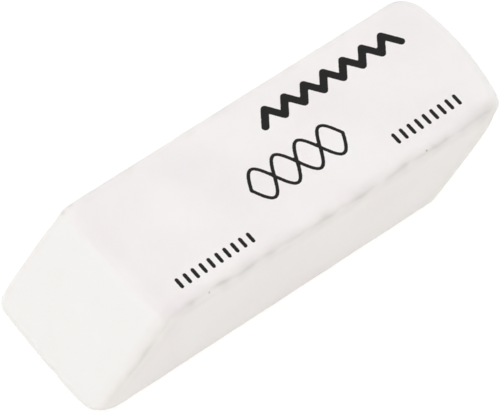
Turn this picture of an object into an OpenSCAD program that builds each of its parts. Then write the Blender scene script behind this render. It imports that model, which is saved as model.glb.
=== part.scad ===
// A block eraser of white rubber. Its two ends slant the same way, so each has
// one sharp edge, the one that does the rubbing, and one blunt edge. Use has
// softened every edge, and has left each end slightly bowed.
// The block lies flat along X, with the sharp edge of its near end towards -X.

/* [Block] */
// Length of the broad faces along X, before the edges are rounded
face_l = 49.6; // [30:0.2:80]
// Width across the block
block_w = 19.2; // [12:0.2:30]
// Thickness of the block
block_h = 12.5; // [8:0.1:18]
// Angle between the underside and the slanted end above it
end_angle = 47; // [35:1:75]

/* [Edges] */
// Radius along the four long edges
long_edge_r = 1.2; // [0.4:0.1:2]
// Radius along the four slanted edges, where the ends meet the long sides
slant_edge_r = 1.1; // [0.4:0.1:2]
// Radius along the sharp edge of each end
sharp_edge_r = 1.4; // [0.5:0.1:2]
// Radius along the blunt edge of each end
blunt_edge_r = 2.9; // [0.8:0.1:4]

/* [Wear of the ends] */
// Corner radius beside the near end's sharp edge
near_corner_r = 1.9; // [0.6:0.1:3.5]
// Corner radius beside the far end's sharp edge
far_corner_r = 2.4; // [0.6:0.1:3.5]
// Height over which a worn corner narrows to the radius of the slanted edge
corner_fade = 5; // [2:0.5:8]
// How far the near end bulges at mid width
near_bow = 0.7; // [0:0.1:2.5]
// How far the far end bulges at mid width
far_bow = 1.4; // [0:0.1:2.5]

/* [Hidden] */
rubber_white = "#EFEDEA";

// Facets across a corner, across the width of an end, and through the thickness
corner_steps = 5;
bow_steps = 6;
level_steps = 28;
// What the loft runs past each broad face before it is trimmed
trim = 1;

// How far an end leans over the block's whole thickness
end_run = block_h / tan(end_angle);
// Distance from the middle of the block to the tip of an unrounded, unbowed end
half_l = (face_l + end_run) / 2;
// The bows draw the two tips apart unequally, and the origin stays midway
tip_shift = (far_bow - near_bow) / 2;

// Distance from an end's unrounded tip to the centre of an arc of radius r that
// touches the slant from inside, at height z
function arc_x(r, z) = z / tan(end_angle) + r / sin(end_angle);

// Half the chord of a circle of radius r at distance d from its centre
function half_chord(r, d) = sqrt(max(0, r * r - d * d));

// Side profile of an end, as the distance from its unrounded tip at height z
// above its sharp edge: an arc, the straight slant and another arc
function end_x(z) =
    let (
        sharp_top = sharp_edge_r * (1 + cos(end_angle)),
        blunt_z = block_h - blunt_edge_r,
        blunt_start = blunt_z + blunt_edge_r * cos(end_angle)
    )
    z < sharp_top ? arc_x(sharp_edge_r, sharp_edge_r) - half_chord(sharp_edge_r, z - sharp_edge_r)
    : z > blunt_start ? arc_x(blunt_edge_r, blunt_z) - half_chord(blunt_edge_r, z - blunt_z)
    : z / tan(end_angle);

// Cross-section of the block, as half its width at height z
function half_w(z) =
    let (into_edge = max(0, long_edge_r - min(z, block_h - z)))
    block_w / 2 - long_edge_r + half_chord(long_edge_r, into_edge);

// Corner radius of a level section at height z above an end's sharp edge
function corner_r(z, worn_r) =
    slant_edge_r + (worn_r - slant_edge_r) * pow(max(0, 1 - z / corner_fade), 2);

// Outline of an end in a level section, from -Y to +Y: a corner, the bowed edge
// and the other corner. A corner is an ellipse, as a level cut through a
// slanted round edge is.
function end_outline(z, worn_r, bow) =
    let (
        r = corner_r(z, worn_r),
        flat_w = half_w(z) - r,
        turn = [for (i = [0 : corner_steps]) 90 * i / corner_steps],
        corner = [for (a = turn) [r * (1 - cos(a)) / sin(end_angle), flat_w + r * sin(a)]],
        stations = concat(
            [for (i = [corner_steps : -1 : 0]) [corner[i].x, -corner[i].y]],
            [for (i = [1 : bow_steps - 1]) [0, flat_w * (2 * i / bow_steps - 1)]],
            corner
        )
    )
    [for (p = stations) [end_x(z) + p.x - bow * (1 - pow(2 * p.y / block_w, 2)), p.y]];

// One level section. The far end is the near end turned over, so its sharp edge
// is on top.
function section(z) = concat(
    [for (p = end_outline(z, near_corner_r, near_bow)) [p.x - half_l, p.y, z]],
    [for (p = end_outline(block_h - z, far_corner_r, far_bow)) [half_l - p.x, -p.y, z]]
);

// The block, lofted through level sections that lie closer together towards the
// broad faces, where the edges turn over. The loft runs on past both faces and
// is trimmed flush, so each of them is one flat face.
module eraser_block() {
    levels = [for (i = [0 : level_steps]) block_h * (1 - cos(180 * i / level_steps)) / 2];
    sections = concat(
        [[for (p = section(0)) [p.x, p.y, -trim]]],
        [for (z = levels) section(z)],
        [[for (p = section(block_h)) [p.x, p.y, block_h + trim]]]
    );
    count = len(sections[0]);
    last = len(sections) - 1;
    bottom = [[for (i = [count - 1 : -1 : 0]) i]];
    top = [[for (i = [0 : count - 1]) last * count + i]];
    walls = [
        for (level = [0 : last - 1], i = [0 : count - 1])
            let (low = level * count, next = (i + 1) % count)
            [low + i, low + next, low + count + next, low + count + i]
    ];
    color(rubber_white)
        translate([-tip_shift, 0, 0])
            intersection() {
                polyhedron([for (ring = sections) each ring], concat(bottom, walls, top));
                translate([-2 * half_l, -block_w, 0]) cube([4 * half_l, 2 * block_w, block_h]);
            }
}

eraser_block();
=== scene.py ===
"""A worn block eraser of white rubber, lying on a pale sheet in soft studio light.

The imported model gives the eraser's box. The block is drawn here in the same form, finely
enough to carry its wear: softened edges that have crumbled a little, shallow dents, ends
that have been rubbed whiter than the moulded skin, and a plain pattern printed in black
on the upper face.
"""

import logging
import math
from dataclasses import dataclass
from enum import Enum

import bpy
import numpy as np
from mathutils import Euler, Matrix, Vector


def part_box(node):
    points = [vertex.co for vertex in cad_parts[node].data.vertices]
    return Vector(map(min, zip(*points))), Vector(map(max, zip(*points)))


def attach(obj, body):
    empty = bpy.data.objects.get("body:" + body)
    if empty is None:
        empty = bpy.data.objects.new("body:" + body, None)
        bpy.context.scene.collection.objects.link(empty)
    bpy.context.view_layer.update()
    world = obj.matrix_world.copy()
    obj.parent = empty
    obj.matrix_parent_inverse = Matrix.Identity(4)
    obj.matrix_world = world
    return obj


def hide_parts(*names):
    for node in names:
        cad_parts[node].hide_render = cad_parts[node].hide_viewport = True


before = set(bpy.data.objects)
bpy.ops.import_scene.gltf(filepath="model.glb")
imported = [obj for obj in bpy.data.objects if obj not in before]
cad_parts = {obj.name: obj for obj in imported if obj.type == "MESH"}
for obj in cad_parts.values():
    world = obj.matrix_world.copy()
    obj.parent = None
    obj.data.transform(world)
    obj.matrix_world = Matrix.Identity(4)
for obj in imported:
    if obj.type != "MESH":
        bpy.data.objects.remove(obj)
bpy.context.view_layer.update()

NODE = "eraser_block"
MM = 0.001
WHITE = "#FFFFFF"

# Keeps a length that something is divided by above nought
TINY = 1e-9

log = logging.getLogger("eraser")


def linear(hex_colour: str) -> tuple[float, float, float, float]:
    """Turns an sRGB hex colour to linear light.

    Args:
        hex_colour: The colour as "#RRGGBB".

    Returns:
        Red, green, blue and an alpha of 1, by the sRGB transfer curve.
    """
    srgb = np.array([int(hex_colour[i : i + 2], 16) for i in (1, 3, 5)]) / 255
    toe, slope, offset, power = 0.04045, 12.92, 0.055, 2.4
    light = np.where(srgb <= toe, srgb / slope, ((srgb + offset) / (1 + offset)) ** power)
    return (*light.tolist(), 1.0)


def add_object(name: str, data: bpy.types.ID) -> bpy.types.Object:
    """Adds an object to the scene, at the origin.

    Args:
        name: Its name.
        data: Its mesh, lamp or camera.

    Returns:
        The object.
    """
    added = bpy.data.objects.new(name, data)
    bpy.context.scene.collection.objects.link(added)
    return added


def empty_tree(owner: bpy.types.Material | bpy.types.World) -> bpy.types.NodeTree:
    """Clears the node tree of a material or a world.

    Args:
        owner: The material or the world.

    Returns:
        Its node tree, without a node.
    """
    owner.use_nodes = True
    owner.node_tree.nodes.clear()
    return owner.node_tree


def add_node(
    tree: bpy.types.NodeTree, kind: str, inputs: dict | None = None, **settings: object
) -> bpy.types.NodeSocket | None:
    """Adds a node with its settings and links.

    Args:
        tree: The node tree that takes it.
        kind: The node's type, without the word ShaderNode in front.
        inputs: By input name or number, a value to set or a socket to link.
        **settings: The node's own attributes.

    Returns:
        The node's first output that is in use, or None where it has no output.
    """
    node = tree.nodes.new("ShaderNode" + kind)
    for name, value in settings.items():
        setattr(node, name, value)
    in_use = {socket.name: socket for socket in reversed(node.inputs) if socket.enabled}
    for key, value in (inputs or {}).items():
        socket = in_use[key] if isinstance(key, str) else node.inputs[key]
        if isinstance(value, bpy.types.NodeSocket):
            tree.links.new(value, socket)
        else:
            socket.default_value = value
    return next((socket for socket in node.outputs if socket.enabled), None)


@dataclass(frozen=True)
class Step:
    """A smooth step from 0 up to 1.

    Attributes:
        low: Where it starts.
        high: Where it ends.
    """

    low: float
    high: float

    def of(self, value: np.ndarray) -> np.ndarray:
        """The step's height for each value: 3t squared less 2t cubed, t being the share climbed."""
        t = np.clip((value - self.low) / (self.high - self.low), 0, 1)
        return t * t * (3 - 2 * t)


@dataclass(frozen=True)
class Ripple:
    """Smooth noise: a sum of cosine waves that run in random directions.

    Attributes:
        wavelength: The middle wavelength, in millimetres.
        seed: Seed of the random directions and phases.
        size: What the noise is multiplied by.
        waves: How many waves are added.
        spread: How far a wavelength may lie from the middle one, as a share of it.
    """

    wavelength: float
    seed: int
    size: float = 1.0
    waves: int = 28
    spread: float = 0.3

    def at(self, points: np.ndarray) -> np.ndarray:
        """Works out the noise.

        Each wave is the cosine of 2 pi times the point's place along the wave's direction,
        over its wavelength, plus a random phase.

        Args:
            points: The points, N by 3, in millimetres.

        Returns:
            The noise at each point, mostly between minus and plus the size.
        """
        rng = np.random.default_rng(self.seed)
        direction = rng.normal(size=(self.waves, 3))
        direction /= np.linalg.norm(direction, axis=1, keepdims=True)
        share = rng.uniform(1 - self.spread, 1 + self.spread, (self.waves, 1))
        frequency = 2 * math.pi / (self.wavelength * share)
        phase = rng.uniform(0, 2 * math.pi, self.waves)
        total = np.cos(points @ (direction * frequency).T + phase).sum(axis=1)
        return self.size * (total / math.sqrt(2 * self.waves))


def vertex_normals(points: np.ndarray, quads: np.ndarray) -> np.ndarray:
    """Outward unit normals of a closed mesh of quads.

    A quad's normal is the cross product of its diagonals, which is as long as twice its
    area, and a vertex takes the sum of the quads that meet there.

    Args:
        points: The vertices, N by 3.
        quads: Vertex numbers of each quad, anticlockwise from outside.

    Returns:
        The normals, N by 3.
    """
    a, b, c, d = (points[quads[:, i]] for i in range(4))
    face = np.cross(c - a, d - b)
    total = np.zeros_like(points)
    for corner in range(4):
        np.add.at(total, quads[:, corner], face)
    return total / np.linalg.norm(total, axis=1, keepdims=True)


class MarkShape(Enum):
    """The plain figures that the print is made of."""

    ZIGZAG = "zigzag"
    PLAIT = "plait"
    TICKS = "ticks"


@dataclass(frozen=True)
class PrintedMark:
    """One figure of the print, on the upper face. Sizes are in millimetres.

    Attributes:
        shape: Which figure it is.
        centre: Its middle, as X and Y.
        repeats: How many waves or ticks it has.
        height: Its height along Y, between mid-strokes or to the middle of a tick's
            round ends.
        pitch: The length of one repeat along X.
        stroke: The width of its strokes.
        wave_pieces: How many straight pieces make one sine wave.
    """

    shape: MarkShape
    centre: tuple[float, float]
    repeats: int
    height: float
    pitch: float
    stroke: float
    wave_pieces: int = 32

    def pieces(self) -> np.ndarray:
        """The centre lines of the figure's strokes, cut into straight pieces.

        A zigzag steps up and down every half pitch. A plait is two opposed sine waves,
        and ticks are upright bars.

        Returns:
            The pieces, N by their 2 ends by X and Y, from the figure's middle.
        """
        reach, half = self.repeats * self.pitch / 2, self.height / 2
        if self.shape is MarkShape.TICKS:
            x = (np.arange(self.repeats) - (self.repeats - 1) / 2) * self.pitch
            bar = np.array([[0, -half], [0, half]])
            return bar + np.stack([x, np.zeros_like(x)], axis=-1)[:, None]
        if self.shape is MarkShape.ZIGZAG:
            x = np.linspace(-reach, reach, 2 * self.repeats + 1)
            lines = [np.where(np.arange(x.size) % 2, half, -half)]
        else:
            x = np.linspace(-reach, reach, self.repeats * self.wave_pieces + 1)
            wave = half * np.sin(2 * math.pi * x / self.pitch)
            lines = [wave, -wave]
        paths = [np.stack([x, y], axis=-1) for y in lines]
        return np.concatenate([np.stack([path[:-1], path[1:]], axis=1) for path in paths])

    def distance(self, x: np.ndarray, y: np.ndarray) -> np.ndarray:
        """How far points of the upper face lie outside the figure's ink.

        That is the distance to the nearest piece of a stroke, less half a stroke, so
        every stroke ends round.

        Args:
            x: The points' places along X, in millimetres.
            y: Their places along Y.

        Returns:
            The distance in millimetres, negative inside the ink.
        """
        place = np.stack([x, y], axis=-1) - self.centre
        nearest = np.full(x.shape, np.inf)
        for start, end in self.pieces():
            run = end - start
            share = np.clip((place - start) @ run / (run @ run), 0, 1)
            away = place - start - share[:, None] * run
            nearest = np.minimum(nearest, np.hypot(away[:, 0], away[:, 1]))
        return nearest - self.stroke / 2


@dataclass(frozen=True)
class Dent:
    """A shallow hollow worn into the block. Sizes are in millimetres.

    Attributes:
        centre: Its middle, as X, Y and Z.
        radii: How far it reaches along X, Y and Z.
        depth: How deep it is at its middle.
        darkening: How much darker it is at its middle, from 0 to 1, in the colour of the edge line.
    """

    centre: tuple[float, float, float]
    radii: tuple[float, float, float]
    depth: float
    darkening: float = 0.0

    def share(self, points: np.ndarray) -> np.ndarray:
        """How far points lie in the hollow: a bell of the distance from its middle, 1 there."""
        away = (points - np.array(self.centre)) / np.array(self.radii)
        return np.exp(-(away**2).sum(axis=1))


@dataclass(frozen=True)
class BlackPrintInk:
    """Black pad-printing ink: a thin opaque film, a little smoother than the rubber.

    It gives the eye a crisp dark figure whose rim is slightly uneven, because the ink
    sinks into the rubber's grain.

    Attributes:
        colour: The ink, as sRGB hex.
        roughness: Roughness of the dry film.
        rim: How far the grain moves the rim of the ink, in millimetres.
        blur: How wide the rim's own fade is, in millimetres.
    """

    colour: str = "#0D0C0A"
    roughness: float = 0.48
    rim: float = 0.1
    blur: float = 0.05


@dataclass(frozen=True)
class WhiteMouldedRubber:
    """White synthetic rubber, moulded and cut: matte, dense and faintly translucent.

    It gives the eye soft shading without a highlight, a fine pebbled grain, a faintly
    pink moulded skin over a whiter inside, and a thin grey line where a worn edge meets a
    side, partly dust and partly painted shade of the edge's turn.

    Attributes:
        fresh: Colour of rubber that has been rubbed, as sRGB hex.
        skin: Colour of the moulded skin.
        dust_and_shade: Colour of the dust and painted shade along the edges, and of the darkening
            in dents.
        speck: Colour of dust caught in a pit.
        roughness: Roughness of the rubber.
        ior: Its index of refraction.
        gloss: Its specular level, where 0.5 is a clean smooth surface. A rubbed and
            dusty one reflects less.
        grain: Size of the fine grain, in millimetres. Real grain is about 0.05 mm,
            which doesn't show at this size of picture, so it is drawn coarser.
        grain_depth: Depth of the grain, in millimetres.
        grain_detail: How many finer layers the grain has.
        grain_gain: Strength of each of them against the layer before.
        patch: Size of the colour patches, in millimetres.
        patch_detail: How many finer layers the patches have.
        patch_levels: The patches' noise where the skin is thinnest and where it is whole.
        patch_shares: The skin's share at those two levels.
        pit_spacing: Distance between the pits of a crumbled edge, in millimetres.
        pit_size: Diameter of a pit, in millimetres.
        pit_floor: Radius of a pit's floor, as a share of the pit's radius.
        pit_depth: Depth of a pit, as a share of its diameter.
        glow: How far light spreads inside the rubber, in millimetres.
    """

    fresh: str = "#F8F4F2"
    skin: str = "#F2ECED"
    dust_and_shade: str = "#D4D3CF"
    speck: str = "#C4BAB0"
    roughness: float = 0.7
    ior: float = 1.5
    gloss: float = 0.25
    grain: float = 0.22
    grain_depth: float = 0.015
    grain_detail: float = 4.0
    grain_gain: float = 0.6
    patch: float = 3.0
    patch_detail: float = 3.0
    patch_levels: tuple[float, float] = (0.35, 0.65)
    patch_shares: tuple[float, float] = (0.75, 1.0)
    pit_spacing: float = 1.0
    pit_size: float = 0.28
    pit_floor: float = 0.5
    pit_depth: float = 1 / 3
    glow: float = 0.2

    def material(self, ink: BlackPrintInk) -> bpy.types.Material:
        """Builds the rubber with the print on it.

        The colour starts as rubbed rubber and takes the skin's colour by the attribute
        "skin", with soft patches. Then come dust and painted shade along the edges, with
        the darkening of dents, by their own attribute, pits from a cell noise where the
        attribute "pitted" is high, and ink where "ink_gap", the distance to the print's
        outline in millimetres, is negative.

        Args:
            ink: The ink of the print.

        Returns:
            The material.
        """
        material = bpy.data.materials.new("white_moulded_rubber")
        tree = empty_tree(material)
        place = add_node(tree, "TexCoord").node.outputs["Object"]
        masks = {
            name: add_node(tree, "Attribute", attribute_name=name).node.outputs["Fac"]
            for name in ("skin", "dust_and_shade", "pitted", "ink_gap")
        }
        patchwork = {"Vector": place, "Scale": 1 / (self.patch * MM), "Detail": self.patch_detail}
        patches = add_node(tree, "TexNoise", patchwork)
        grain = add_node(
            tree,
            "TexNoise",
            {
                "Vector": place,
                "Scale": 1 / (self.grain * MM),
                "Detail": self.grain_detail,
                "Roughness": self.grain_gain,
            },
        )
        cells = add_node(
            tree, "TexVoronoi", {"Vector": place, "Scale": 1 / (self.pit_spacing * MM)}
        )

        thin, full = self.patch_levels
        least, most = self.patch_shares
        patchy = add_node(
            tree,
            "MapRange",
            {"Value": patches, "From Min": thin, "From Max": full, "To Min": least, "To Max": most},
        )
        skinned = add_node(tree, "Math", {0: masks["skin"], 1: patchy}, operation="MULTIPLY")
        rim = self.pit_size / 2 / self.pit_spacing
        floor = rim * self.pit_floor
        hollow = add_node(
            tree,
            "MapRange",
            {"Value": cells, "From Min": floor, "From Max": rim, "To Min": 1.0, "To Max": 0.0},
        )
        pits = add_node(tree, "Math", {0: hollow, 1: masks["pitted"]}, operation="MULTIPLY")
        ragged_gap = add_node(
            tree, "Math", {0: grain, 1: ink.rim, 2: masks["ink_gap"]}, operation="MULTIPLY_ADD"
        )
        inked = add_node(
            tree,
            "MapRange",
            {
                "Value": ragged_gap,
                "From Min": (ink.rim - ink.blur) / 2,
                "From Max": (ink.rim + ink.blur) / 2,
                "To Min": 1.0,
                "To Max": 0.0,
            },
        )

        coats = (
            (skinned, self.skin),
            # A grey line and haze along the edges, part dust and part painted shade of the edges'
            # turn, with the darkening in dents
            (masks["dust_and_shade"], self.dust_and_shade),
            (pits, self.speck),
            (inked, ink.colour),
        )
        colour = linear(self.fresh)
        for share, coat in coats:
            mixed = {"Factor": share, "A": colour, "B": linear(coat)}
            colour = add_node(tree, "Mix", mixed, data_type="RGBA")
        roughness = add_node(
            tree, "MapRange", {"Value": inked, "To Min": self.roughness, "To Max": ink.roughness}
        )
        grain_size, pit_drop = self.grain_depth * MM, self.pit_depth * self.pit_size * MM
        grained = add_node(tree, "Bump", {"Height": grain, "Distance": grain_size, "Strength": 1.0})
        pitting = {"Height": pits, "Distance": pit_drop, "Normal": grained}
        sunk = add_node(tree, "Bump", pitting, invert=True)
        shader = add_node(
            tree,
            "BsdfPrincipled",
            {
                "Base Color": colour,
                "Roughness": roughness,
                "IOR": self.ior,
                "Specular IOR Level": self.gloss,
                "Subsurface Weight": 1.0,
                "Subsurface Radius": (1.0, 1.0, 1.0),
                "Subsurface Scale": self.glow * MM,
                "Normal": sunk,
            },
        )
        add_node(tree, "OutputMaterial", {"Surface": shader})
        return material


@dataclass(frozen=True)
class PaleCard:
    """Smooth matte white card, the sheet that the eraser lies on.

    It gives the eye a plain white ground with the object's soft shadow on it. What the
    camera sees of it is partly the card's own light, which keeps the ground white and
    the shadow faint, and adds no light to the object.

    Attributes:
        colour: The card, as sRGB hex.
        roughness: Its roughness.
        shadow_share: Share of the card's shading that the camera sees.
        white: Strength of the plain white that makes up the rest, where 1 is white. The
            part above 1 makes up for what the card's own colour takes away.
    """

    colour: str = "#F4F3EE"
    roughness: float = 0.9
    shadow_share: float = 0.22
    white: float = 1.1

    def material(self) -> bpy.types.Material:
        """Builds the card: a diffuse sheet, mixed with plain white for camera rays.

        Returns:
            The material.
        """
        material = bpy.data.materials.new("matte_white_card")
        tree = empty_tree(material)
        path = add_node(tree, "LightPath").node.outputs
        finish = {"Base Color": linear(self.colour), "Roughness": self.roughness}
        card = add_node(tree, "BsdfPrincipled", finish)
        white = add_node(tree, "Emission", {"Color": linear(WHITE), "Strength": self.white})
        plain = {0: path["Is Camera Ray"], 1: 1 - self.shadow_share}
        seen = add_node(tree, "Math", plain, operation="MULTIPLY")
        mixed = add_node(tree, "MixShader", {0: seen, 1: card, 2: white})
        add_node(tree, "OutputMaterial", {"Surface": mixed})
        return material


@dataclass(frozen=True)
class SlantedEnd:
    """One end of the block, with its wear. Sizes are in millimetres.

    Heights run from the end's own sharp edge, and X from its unrounded tip inwards.

    Attributes:
        corner_r: Corner radius beside the sharp edge.
        bow: How far the end bulges at mid width.
        fullness: Power of the distance from mid width in that bulge's curve. 2 is a
            parabola, and more makes it flatter at mid width.
        bias: How much further it bulges between mid width and the side at -Y.
        belly: How far the slant bulges at mid height.
        skew: How far the side at -Y leans inwards at full height, past the other side.
        turn: How far the side at +Y lies inwards of the side at -Y, at every height.
        angle: Angle of the slant to the broad faces, in degrees.
        sharp_r: Radius along the sharp edge.
        blunt_r: Radius along the blunt edge.
        side_r: Radius along the slanted edges, where the end meets the long sides.
        corner_fade: Height over which a corner narrows to the slanted edge's radius.
    """

    corner_r: float
    bow: float
    fullness: float = 2.0
    bias: float = 0.0
    belly: float = 0.0
    skew: float = 0.0
    turn: float = 0.0
    angle: float = 47.0
    sharp_r: float = 1.4
    blunt_r: float = 2.9
    side_r: float = 0.8
    corner_fade: float = 5.0

    @property
    def slope(self) -> float:
        """The slant's angle in radians."""
        return math.radians(self.angle)

    @property
    def tip_loss(self) -> float:
        """What the sharp edge's rounding takes off the tip, in millimetres."""
        return self.sharp_r * (1 / math.tan(self.slope) + 1 / math.sin(self.slope) - 1)

    def profile(self, z: np.ndarray, height: float) -> np.ndarray:
        """Distance of the end's face from its unrounded tip.

        An arc round the sharp edge, then the slant, z over the tangent of its angle,
        then an arc round the blunt edge. Each arc touches the slant and a broad face.

        Args:
            z: Heights above the sharp edge.
            height: The block's thickness.

        Returns:
            The distance at each height, in millimetres.
        """
        tangent, sine, cosine = (f(self.slope) for f in (math.tan, math.sin, math.cos))

        def arc(radius: float, centre_z: float) -> np.ndarray:
            """The outer side of an arc that touches the slant from inside."""
            centre_x = centre_z / tangent + radius / sine
            return centre_x - np.sqrt(np.clip(radius**2 - (z - centre_z) ** 2, 0, None))

        x = np.where(z < self.sharp_r * (1 + cosine), arc(self.sharp_r, self.sharp_r), z / tangent)
        blunt_start = height - self.blunt_r * (1 - cosine)
        return np.where(z > blunt_start, arc(self.blunt_r, height - self.blunt_r), x)

    def face(self, y: np.ndarray, z: np.ndarray, block: "EraserBlock") -> np.ndarray:
        """Distance of the end's face from its unrounded tip, corners left out.

        The side profile, less the bulges: a curve across the width, 1 less a power of
        the distance from mid width, which a bias makes fuller towards -Y, and a parabola
        through the thickness, 4 times the share of the height times what is left of it.
        A turn adds a part that grows evenly towards +Y, and a skew one that grows with
        height and towards -Y.

        Args:
            y: Places along Y.
            z: Heights above the sharp edge.
            block: The block, for its width and its thickness.

        Returns:
            The distance at each place, in millimetres.
        """
        across, up = 2 * y / block.width, z / block.height
        bowed = (self.bow - self.bias * across) * (1 - np.abs(across) ** self.fullness)
        bowed = bowed + 4 * self.belly * up * (1 - up)
        return self.profile(z, block.height) - bowed + (self.turn - self.skew * up) * across / 2

    def outline(self, z: np.ndarray, half_width: np.ndarray, block: "EraserBlock") -> np.ndarray:
        """The end's outline in level sections, from the side at -Y to the side at +Y.

        A corner is an ellipse, as a level cut through a slanted round edge is. Its radius
        narrows with height, as the square of what is left of the fade. Between two
        corners the outline follows the end's face.

        Args:
            z: Heights above the sharp edge, one for each section.
            half_width: Half the block's width in each section.
            block: The block, for its width, its thickness and its mesh steps.

        Returns:
            X and Y of each station, as sections by stations by 2.
        """
        fade = np.clip(1 - z / self.corner_fade, 0, None) ** 2
        radius = (self.side_r + (self.corner_r - self.side_r) * fade)[:, None]
        flat = half_width[:, None] - radius
        turn = np.linspace(0, math.pi / 2, block.corner_steps + 1)
        corner_x = radius * (1 - np.cos(turn)) / math.sin(self.slope)
        corner_y = flat + radius * np.sin(turn)
        edge_y = flat * np.linspace(-1, 1, block.end_steps + 1)[1:-1]
        y = np.hstack([-corner_y[:, ::-1], edge_y, corner_y])
        x = np.hstack([corner_x[:, ::-1], np.zeros_like(edge_y), corner_x])
        return np.stack([x + self.face(y, z[:, None], block), y], axis=-1)


@dataclass(frozen=True)
class EdgeDustAndShade:
    """Dust and painted shade along the long sides' edges: a wandering line in a fainter haze.

    Both come and go in streaks, and are fainter towards the lower face, and the line is
    fainter at the back. Both are partly dust and partly painted shade, the darkening
    where a rounded edge turns from a face to a side. Places are distances round an
    edge, as EraserBlock.across_edge gives them. Sizes are in millimetres, and shares
    run from 0 to 1.

    Attributes:
        place: Where the line lies on an upper or a lower edge.
        slant_place: Where it lies on a slanted edge.
        width: Half the width of the line.
        wander: How far the line strays to either side.
        strays: The ripples along which it strays.
        slant_calm: Share of the straying that is lost on a slanted edge.
        before: How far the haze reaches from the line over the face.
        beyond: How far it reaches over the side.
        line: How strongly the line covers the rubber.
        haze: How strongly the haze does.
        usual: Usual strength of the streaks.
        streaks: The ripple of that strength.
        limits: The least and the most of that strength.
        slant_loss: Share of the dust and painted shade that is missing on a slanted edge.
        low_loss: Share that is missing at the lower face.
        back_loss: Share of the line that is missing at the back.
        back: The step along Y to the back.
    """

    place: float = 0.4
    slant_place: float = 0.45
    width: float = 0.33
    wander: float = 0.4
    strays: tuple[Ripple, ...] = (Ripple(6.0, 17, 0.7), Ripple(1.6, 18, 0.5))
    slant_calm: float = 0.5
    before: float = 1.9
    beyond: float = 2.2
    line: float = 0.3
    haze: float = 0.38
    usual: float = 0.75
    streaks: Ripple = Ripple(2.6, 21, 0.4)
    limits: tuple[float, float] = (0.2, 1.2)
    slant_loss: float = 0.1
    low_loss: float = 0.5
    back_loss: float = 0.4
    back: Step = Step(-1.0, 1.0)

    def share(
        self, points: np.ndarray, across: np.ndarray, at_slant: np.ndarray, height: float
    ) -> np.ndarray:
        """How strongly the dust and painted shade cover the rubber.

        The line is a bell of the distance from its place, and the haze falls evenly to
        either side.

        Args:
            points: The points, N by 3, in millimetres.
            across: Their distances round an edge.
            at_slant: A share that is 1 on a slanted edge.
            height: The block's thickness.

        Returns:
            The share of dust and painted shade at each point.
        """
        place = self.place + (self.slant_place - self.place) * at_slant
        stray = sum(ripple.at(points) for ripple in self.strays)
        away = across - place - self.wander * stray * (1 - self.slant_calm * at_slant)
        # The dark line: partly dust, partly painted shade where the edge turns to the side
        line = np.exp(-((away / self.width) ** 2))
        line *= 1 - self.back_loss * self.back.of(points[:, 1])
        reach = np.where(away < 0, self.before, self.beyond)
        # The haze: partly dust, partly painted shade of the rounded edge's turn
        haze = np.clip(1 - np.abs(away) / reach, 0, 1)
        strength = np.clip(self.usual + self.streaks.at(points), *self.limits)
        strength *= 1 - self.slant_loss * at_slant
        strength *= 1 - self.low_loss * (1 - Step(0, height).of(points[:, 2]))
        return (self.line * line + self.haze * haze) * strength


@dataclass(frozen=True)
class MouldedSkin:
    """The moulded skin, as far as use has left it.

    The ends are rubbed bare from their sharp edge up to the start of their blunt edge,
    and round to a narrow rim on the sides. An end's lean is -1 on the broad face beside
    its sharp edge, 1 on the one beside its blunt edge, and between them on the slant.
    Sizes are in millimetres, and shares run from 0 to 1.

    Attributes:
        sharp: Step of the lean by which the rubbed part starts.
        blunt: Step of the lean by which it ends.
        side: Step of the normal's part along Y from an end to a side.
        rim: Step of the distance round an edge by which the rim on a side ends.
        usual: The skin's usual share.
        patches: The ripple that thins and thickens it.
        band: How much thicker it is in a band past the near end's blunt edge.
        band_place: Distance of the band's middle from the start of the upper face.
        band_width: Half the band's width.
        side_loss: How much thinner it is on the sides.
    """

    sharp: Step = Step(-0.98, -0.8)
    blunt: Step = Step(0.75, 0.93)
    side: Step = Step(0.8, 0.97)
    rim: Step = Step(1.0, 2.0)
    usual: float = 0.58
    patches: Ripple = Ripple(10.0, 13, 0.35)
    band: float = 0.4
    band_place: float = 0.9
    band_width: float = 1.4
    side_loss: float = 0.2

    def share(
        self,
        points: np.ndarray,
        normal: np.ndarray,
        across: np.ndarray,
        at_slant: np.ndarray,
        face_start: float,
    ) -> np.ndarray:
        """How much of the skin is there. The band is a bell of the distance along X.

        Args:
            points: The points, N by 3, in millimetres.
            normal: Their outward normals.
            across: Their distances round an edge.
            at_slant: A share that is 1 on a slanted edge.
            face_start: Where the upper face starts along X.

        Returns:
            The share of skin at each point.
        """
        side_facing = np.abs(normal[:, 1])
        in_profile = np.hypot(normal[:, 0], normal[:, 2]) + TINY
        lean = np.where(normal[:, 0] < 0, normal[:, 2], -normal[:, 2]) / in_profile
        rubbed = self.sharp.of(lean) * (1 - self.blunt.of(lean))
        rim = at_slant * (1 - self.rim.of(across))
        on_side = self.side.of(side_facing)
        rubbed = rubbed * (1 - on_side) + rim * on_side
        from_band = points[:, 0] - face_start - self.band_place
        band = np.exp(-((from_band / self.band_width) ** 2))
        skin = np.clip(self.usual + self.patches.at(points) + self.band * band, 0, 1)
        return skin * (1 - self.side_loss * side_facing) * (1 - rubbed)


@dataclass(frozen=True)
class EdgePits:
    """Pits in clusters, where the edges of the long sides have crumbled.

    Attributes:
        clusters: The ripple that gathers the pits.
        dense: Step of that ripple from a bare stretch to a dense one.
        side: Step of the normal's part along Y, below which an edge has no pits.
    """

    clusters: Ripple = Ripple(7.0, 34)
    dense: Step = Step(0.3, 1.0)
    side: Step = Step(0.15, 0.4)

    def share(self, points: np.ndarray, normal: np.ndarray) -> np.ndarray:
        """How dense pits are, if this is an edge: a share for each point, from 0 to 1."""
        return self.dense.of(self.clusters.at(points)) * self.side.of(np.abs(normal[:, 1]))


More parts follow.
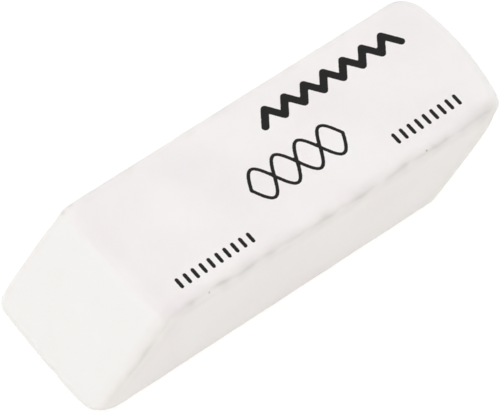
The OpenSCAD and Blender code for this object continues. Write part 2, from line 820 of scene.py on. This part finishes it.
@dataclass
class EraserBlock:
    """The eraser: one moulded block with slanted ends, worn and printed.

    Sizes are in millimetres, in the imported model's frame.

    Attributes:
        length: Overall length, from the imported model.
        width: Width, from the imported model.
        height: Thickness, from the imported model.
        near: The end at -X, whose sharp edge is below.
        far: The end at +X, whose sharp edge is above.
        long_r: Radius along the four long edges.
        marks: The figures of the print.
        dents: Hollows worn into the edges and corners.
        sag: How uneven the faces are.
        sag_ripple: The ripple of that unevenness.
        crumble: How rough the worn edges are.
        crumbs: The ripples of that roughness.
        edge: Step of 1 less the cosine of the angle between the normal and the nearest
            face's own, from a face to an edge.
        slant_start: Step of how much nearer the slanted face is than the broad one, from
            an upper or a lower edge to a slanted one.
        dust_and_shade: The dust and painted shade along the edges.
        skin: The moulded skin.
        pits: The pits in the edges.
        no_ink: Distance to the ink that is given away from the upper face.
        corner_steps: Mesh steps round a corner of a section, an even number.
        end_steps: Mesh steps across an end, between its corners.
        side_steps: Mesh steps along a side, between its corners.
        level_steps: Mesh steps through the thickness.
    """

    length: float
    width: float
    height: float
    near: SlantedEnd = SlantedEnd(
        corner_r=2.45,
        corner_fade=4.0,
        bow=0.45,
        fullness=3.0,
        bias=0.3,
        belly=0.05,
        skew=0.43,
        turn=-0.37,
    )
    far: SlantedEnd = SlantedEnd(corner_r=2.1, bow=1.33, bias=0.05, belly=0.42, turn=0.73)
    long_r: float = 1.2
    marks: tuple[PrintedMark, ...] = (
        PrintedMark(MarkShape.ZIGZAG, (14.4, 5.1), 7, 2.0, 2.8, 0.95),
        PrintedMark(MarkShape.PLAIT, (4.6, -1.8), 2, 4.6, 6.5, 0.42),
        PrintedMark(MarkShape.TICKS, (-10.7, -6.7), 10, 1.1, 1.1, 0.45),
        PrintedMark(MarkShape.TICKS, (19.8, -6.1), 9, 1.2, 1.1, 0.45),
    )
    dents: tuple[Dent, ...] = (
        Dent((-11.0, -9.6, 12.3), (3.0, 1.2, 1.0), 0.35),
        Dent((-29.7, -1.9, 1.2), (0.6, 0.7, 0.6), 0.15, 0.2),
        Dent((25.5, -9.3, 11.9), (2.8, 0.9, 1.0), 0.12, 0.25),
        Dent((-16.0, -9.3, 11.9), (0.4, 0.35, 0.35), 0.08, 0.15),
        Dent((14.3, -9.3, 12.0), (0.3, 0.3, 0.3), 0.06, 0.15),
        Dent((18.3, -9.2, 12.1), (0.3, 0.3, 0.3), 0.06, 0.2),
        Dent((20.0, -9.3, 12.0), (0.3, 0.3, 0.3), 0.06, 0.15),
        Dent((-19.1, 9.2, 12.1), (0.35, 0.35, 0.35), 0.08, 0.5),
        Dent((-20.3, 9.0, 11.9), (0.3, 0.3, 0.3), 0.08, 0.45),
        Dent((-21.3, 9.1, 11.1), (1.6, 1.2, 1.9), 0.18),
        Dent((-28.6, -8.9, 0.8), (1.6, 1.2, 1.2), 0.11),
        Dent((28.5, 8.2, 11.9), (0.9, 0.8, 1.0), 0.36),
        Dent((27.2, -9.2, 10.8), (1.3, 1.0, 1.7), 0.28),
    )
    sag: float = 0.03
    sag_ripple: Ripple = Ripple(9.0, 3)
    crumble: float = 0.06
    crumbs: tuple[Ripple, ...] = (Ripple(2.2, 5, 0.65), Ripple(0.9, 8, 0.35))
    edge: Step = Step(0.003, 0.08)
    slant_start: Step = Step(-1.0, 1.0)
    dust_and_shade: EdgeDustAndShade = EdgeDustAndShade()
    skin: MouldedSkin = MouldedSkin()
    pits: EdgePits = EdgePits()
    no_ink: float = 1.0
    corner_steps: int = 16
    end_steps: int = 80
    side_steps: int = 256
    level_steps: int = 54

    @classmethod
    def from_box(cls, low: Vector, high: Vector) -> "EraserBlock":
        """Makes the block that fills a box, from the box's outermost corners in metres."""
        return cls(*(side / MM for side in high - low))

    @property
    def half_length(self) -> float:
        """Half the distance between the tips of the unrounded, unbowed ends."""
        bows = self.near.bow + self.far.bow
        return (self.length - bows + self.near.tip_loss + self.far.tip_loss) / 2

    @property
    def shift(self) -> float:
        """How far the ends move towards -X, so that unequal bows stay centred."""
        return (self.far.bow - self.near.bow) / 2

    def half_width(self, z: np.ndarray) -> np.ndarray:
        """Half the width at a height: the sides, rounded by an arc at both broad faces."""
        into_edge = np.clip(self.long_r - np.minimum(z, self.height - z), 0, None)
        return self.width / 2 - self.long_r + np.sqrt(self.long_r**2 - into_edge**2)

    def rings(self) -> np.ndarray:
        """The walls: level sections of the block, as closed rings of stations.

        The heights lie closer together towards the broad faces, as the cosine of an
        even turn, because the edges turn over there. The far end is the near end's
        form turned over about Y. The sides join the two ends by straight lines.

        Returns:
            The stations, as levels by stations by 3. Each ring runs clockwise from
            above and starts half way round the corner at -X and -Y.
        """
        turn = np.linspace(0, math.pi, self.level_steps + 1)
        z = self.height * (1 - np.cos(turn)) / 2
        half_width = self.half_width(z)
        near = self.near.outline(z, half_width, self) - [self.half_length, 0]
        far = [self.half_length, 0] - self.far.outline(self.height - z, half_width, self)
        share = np.linspace(0, 1, self.side_steps + 1)[1:-1, None]
        back = near[:, -1:] * (1 - share) + far[:, :1] * share
        front = far[:, -1:] * (1 - share) + near[:, :1] * share
        flat = np.concatenate([near, back, far, front], axis=1)
        flat[..., 0] -= self.shift
        level = np.broadcast_to(z[:, None, None], (*flat.shape[:2], 1))
        ring = np.concatenate([flat, level], axis=2)
        return np.roll(ring, -self.corner_steps // 2, axis=1)

    def four_sides(self, ring: np.ndarray) -> tuple[np.ndarray, ...]:
        """Splits a ring at the middles of its corners.

        Args:
            ring: A value or a row for each station of a ring.

        Returns:
            The near end, the back, the far end and the front. The ends run from -Y to +Y
            and the others from -X to +X, and each has its corners' middles at its ends.
        """
        across = self.end_steps + self.corner_steps
        along = self.side_steps + self.corner_steps
        closed = np.concatenate([ring, ring[:1]])
        turns = np.cumsum([0, across, along, across, along])
        near, back, far, front = (closed[a : b + 1] for a, b in zip(turns[:-1], turns[1:]))
        return near, back, far[::-1], front[::-1]

    def cap(self, ring: np.ndarray) -> np.ndarray:
        """A broad face: a grid of points that fills a ring, by a Coons patch.

        The patch adds the blend of the two end curves and the blend of the two side
        curves, and takes away the blend of the four corners.

        Args:
            ring: The face's ring of stations, by 3.

        Returns:
            The grid, as steps along X by steps along Y by 3, with the ring round it.
        """
        near, back, far, front = self.four_sides(ring)
        u = np.linspace(0, 1, len(back))[:, None, None]
        v = np.linspace(0, 1, len(near))[None, :, None]
        ends = (1 - u) * near[None] + u * far[None]
        sides = (1 - v) * front[:, None] + v * back[:, None]
        low, high = (1 - u) * near[0] + u * far[0], (1 - u) * near[-1] + u * far[-1]
        return ends + sides - (1 - v) * low - v * high

    def shell(self) -> tuple[np.ndarray, np.ndarray]:
        """The unworn block as one closed mesh: the walls and the two broad faces.

        Returns:
            The vertices, N by 3, and the quads' vertex numbers, anticlockwise from
            outside.
        """
        rings = self.rings()
        levels, stations = rings.shape[:2]
        points = [rings.reshape(-1, 3)]
        number = np.arange(levels * stations).reshape(levels, stations)
        after = np.roll(number, -1, axis=1)
        walls = np.stack([number[:-1], number[1:], after[1:], after[:-1]], axis=-1)
        quads = [walls.reshape(-1, 4)]
        made = levels * stations
        for level in (0, levels - 1):
            cap = self.cap(rings[level])
            inside = cap[1:-1, 1:-1]
            grid = np.empty(cap.shape[:2], int)
            grid[0], grid[:, -1], grid[-1], grid[:, 0] = self.four_sides(number[level])
            grid[1:-1, 1:-1] = made + np.arange(inside.size // 3).reshape(inside.shape[:2])
            made += inside.size // 3
            points.append(inside.reshape(-1, 3))
            face = np.stack([grid[:-1, :-1], grid[1:, :-1], grid[1:, 1:], grid[:-1, 1:]], axis=-1)
            quads.append(face.reshape(-1, 4)[:, :: -1 if level == 0 else 1])
        return np.concatenate(points), np.concatenate(quads)

    def face_directions(self) -> np.ndarray:
        """Outward normals of the six faces: below, above, two sides and two slants."""
        sine, cosine = math.sin(self.near.slope), math.cos(self.near.slope)
        return np.array(
            [[0, 0, -1], [0, 0, 1], [0, -1, 0], [0, 1, 0], [-sine, 0, cosine], [sine, 0, -cosine]]
        )

    def worn(self, points: np.ndarray, normal: np.ndarray) -> np.ndarray:
        """Wears the block.

        The depth worn off along the normal is an uneven sag, plus a coarse and a fine
        ripple on the edges, plus the dents.

        Args:
            points: The unworn block's vertices, N by 3.
            normal: Their outward normals.

        Returns:
            The worn vertices.
        """
        depth = self.sag * (1 + self.sag_ripple.at(points)) / 2
        crumbled = sum(ripple.at(points) for ripple in self.crumbs)
        depth += self.crumble * self.edge_share(normal) * (1 + crumbled) / 2
        depth += sum(dent.depth * dent.share(points) for dent in self.dents)
        worn = points - normal * depth[:, None]
        worn[:, 2] = np.clip(worn[:, 2], 0, self.height)
        return worn

    def edge_share(self, normal: np.ndarray) -> np.ndarray:
        """How far the normal leaves all six faces' directions: 0 on a face, 1 on an edge."""
        facing = normal @ self.face_directions().T
        return self.edge.of(1 - facing.max(axis=1))

    def across_edge(self, points: np.ndarray) -> tuple[np.ndarray, np.ndarray]:
        """How far points lie round an edge of a long side.

        The distance is the depth below the nearest broad or slanted face, less the depth
        below the side. It is negative on the face, nought in the middle of the edge and
        positive on the side.

        Args:
            points: The unworn block's vertices, N by 3.

        Returns:
            The distance in millimetres, and a share that is 1 where the nearest face is
            a slanted one.
        """
        x, y, z = points.T
        x = x + self.shift
        sine = math.sin(self.near.slope)
        below_broad = np.minimum(z, self.height - z)
        below_near = (x + self.half_length - self.near.face(y, z, self)) * sine
        below_far = (self.half_length - x - self.far.face(-y, self.height - z, self)) * sine
        below_slant = np.minimum(below_near, below_far)
        below_side = self.width / 2 - np.abs(y)
        at_slant = self.slant_start.of(below_broad - below_slant)
        return np.minimum(below_broad, below_slant) - below_side, at_slant

    def masks(self, points: np.ndarray, normal: np.ndarray) -> dict[str, np.ndarray]:
        """Says where the finish changes. A dent adds a darkening of its own to the dust and painted
        shade of the edges.

        Args:
            points: The unworn block's vertices, N by 3.
            normal: Their outward normals.

        Returns:
            For each vertex the masks "skin", the dust and painted shade, "pitted" and "ink_gap".
        """
        across, at_slant = self.across_edge(points)
        face_start = self.height / math.tan(self.near.slope) - self.half_length - self.shift
        # Darker at the dents' middles, by each dent's darkening
        dent_darkening = sum(dent.darkening * dent.share(points) for dent in self.dents)
        gaps = [mark.distance(points[:, 0], points[:, 1]) for mark in self.marks]
        off_face = points[:, 2] < self.height - self.long_r
        return {
            "skin": self.skin.share(points, normal, across, at_slant, face_start),
            # Dust and painted shade along the edges, plus the darkening in the dents
            "dust_and_shade": self.dust_and_shade.share(points, across, at_slant, self.height) + dent_darkening,
            "pitted": self.edge_share(normal) * self.pits.share(points, normal),
            "ink_gap": np.where(off_face, self.no_ink, np.min(gaps, axis=0)),
        }

    def build(self) -> bpy.types.Object:
        """Builds the block's mesh with its masks.

        Returns:
            The block's object, at the origin.
        """
        points, quads = self.shell()
        normal = vertex_normals(points, quads)
        mesh = bpy.data.meshes.new("eraser")
        mesh.from_pydata((self.worn(points, normal) * MM).tolist(), [], quads.tolist())
        mesh.shade_smooth()
        for name, values in self.masks(points, normal).items():
            attribute = mesh.attributes.new(name, "FLOAT", "POINT")
            attribute.data.foreach_set("value", values.astype(np.float32))
        mesh.validate()
        return add_object("eraser", mesh)

    def dress(self, eraser: bpy.types.Object) -> None:
        """Gives the block its finish and its place in the frame.

        Args:
            eraser: The block's object.
        """
        eraser.data.materials.append(WhiteMouldedRubber().material(BlackPrintInk()))
        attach(eraser, "root")
        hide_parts(NODE)


@dataclass(frozen=True)
class SoftBox:
    """A square lamp that points at the eraser. Sizes are in metres.

    Attributes:
        name: Its name.
        place: Where it stands.
        size: Its side.
        power: Its power in watts.
        colour: Its light, as sRGB hex.
    """

    name: str
    place: tuple[float, float, float]
    size: float
    power: float
    colour: str

    def build(self) -> None:
        """Builds the lamp. The camera doesn't see it."""
        lamp = bpy.data.lights.new(self.name, "AREA")
        lamp.size = self.size
        lamp.energy = self.power
        lamp.color = linear(self.colour)[:3]
        holder = add_object(self.name, lamp)
        holder.location = self.place
        holder.rotation_euler = Vector(self.place).to_track_quat("Z", "Y").to_euler()
        holder.visible_camera = False


@dataclass
class Studio:
    """The pale sheet and the soft light round the eraser.

    Attributes:
        reach: Half the side of the sheet, in metres.
        gap: How far the sheet lies below the eraser, in metres, so that the two
            surfaces don't coincide.
        sky: The light from all round, as sRGB hex.
        sky_strength: Its strength.
        lamps: The lamps.
    """

    reach: float = 4.0
    gap: float = 0.02 * MM
    sky: str = WHITE
    sky_strength: float = 0.86
    lamps: tuple[SoftBox, ...] = (
        SoftBox("key_lamp", (-0.4, 0.1, 1.0), 0.9, 1.9, WHITE),
        SoftBox("fill_lamp", (0.3, -1.2, 0.35), 0.7, 0.1, WHITE),
    )

    def build_sheet(self) -> bpy.types.Object:
        """Builds the sheet as one square face.

        Returns:
            The sheet.
        """
        corners = ((-1, -1), (1, -1), (1, 1), (-1, 1))
        points = [(self.reach * x, self.reach * y, -self.gap) for x, y in corners]
        mesh = bpy.data.meshes.new("sheet")
        mesh.from_pydata(points, [], [range(len(points))])
        mesh.materials.append(PaleCard().material())
        sheet = add_object("sheet", mesh)
        return sheet

    def build_light(self) -> None:
        """Builds the lamps and the world, which looks white behind the object."""
        for lamp in self.lamps:
            lamp.build()
        world = bpy.data.worlds.new("studio")
        tree = empty_tree(world)
        path = add_node(tree, "LightPath").node.outputs
        mirrors = {0: path["Is Glossy Ray"], 1: path["Is Transmission Ray"]}
        mirrored = add_node(tree, "Math", mirrors, operation="MAXIMUM")
        looks = {0: path["Is Camera Ray"], 1: mirrored}
        looked_at = add_node(tree, "Math", looks, operation="MAXIMUM")
        light = {"Color": linear(self.sky), "Strength": self.sky_strength}
        glow = add_node(tree, "Background", light)
        white = add_node(tree, "Background", {"Color": linear(WHITE), "Strength": 1.0})
        mixed = add_node(tree, "MixShader", {0: looked_at, 1: glow, 2: white})
        add_node(tree, "OutputWorld", {"Surface": mixed})
        bpy.context.scene.world = world


@dataclass(frozen=True)
class ProductCamera:
    """The camera, which looks down on the eraser over its near end.

    Attributes:
        azimuth: Its direction round the eraser, in degrees from -Y towards +X.
        elevation: Its height above the horizon, in degrees.
        distance: Its distance, in metres.
        centre: The middle of the eraser, as X, Y and Z in millimetres.
        offset: Where the camera points from there, as millimetres to the picture's
            right and upwards.
        lens: Focal length, in millimetres.
        sensor: Width of the sensor, in millimetres.
        clip: The nearest and the farthest that it sees, in metres.
    """

    azimuth: float = -37.29
    elevation: float = 57.06
    distance: float = 0.49
    centre: tuple[float, float, float] = (-0.35, 0.0, 6.25)
    offset: tuple[float, float] = (-0.3, -0.364)
    lens: float = 310.3
    sensor: float = 36.0
    clip: tuple[float, float] = (0.01, 100.0)

    def build(self) -> None:
        """Builds the camera and makes it the scene's own.

        From looking straight down it is tilted up, then turned round the eraser, and it
        is drawn back from its aim by the distance.
        """
        azimuth, elevation = math.radians(self.azimuth), math.radians(self.elevation)
        turned = Euler((math.pi / 2 - elevation, 0, azimuth)).to_matrix()
        right, up, back = turned.col
        camera = bpy.data.cameras.new("camera")
        camera.lens = self.lens
        camera.sensor_width = self.sensor
        camera.clip_start, camera.clip_end = self.clip
        holder = add_object("camera", camera)
        aim = Vector(self.centre) + right * self.offset[0] + up * self.offset[1]
        place = aim * MM + back * self.distance
        holder.matrix_world = Matrix.Translation(place) @ turned.to_4x4()
        bpy.context.scene.camera = holder


def main() -> None:
    """Builds the eraser, then the studio and the camera."""
    logging.basicConfig(level=logging.INFO, format="%(message)s")
    block = EraserBlock.from_box(*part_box(NODE))
    eraser = block.build()
    block.dress(eraser)
    log.info("%s: %d faces, for node %s", eraser.name, len(eraser.data.polygons), NODE)
    studio = Studio()
    sheet = studio.build_sheet()
    studio.build_light()
    log.info("%s and %d lamps are up", sheet.name, len(studio.lamps))
    ProductCamera().build()
    bpy.context.scene.view_settings.view_transform = "Standard"


if __name__ == "__main__":
    main()
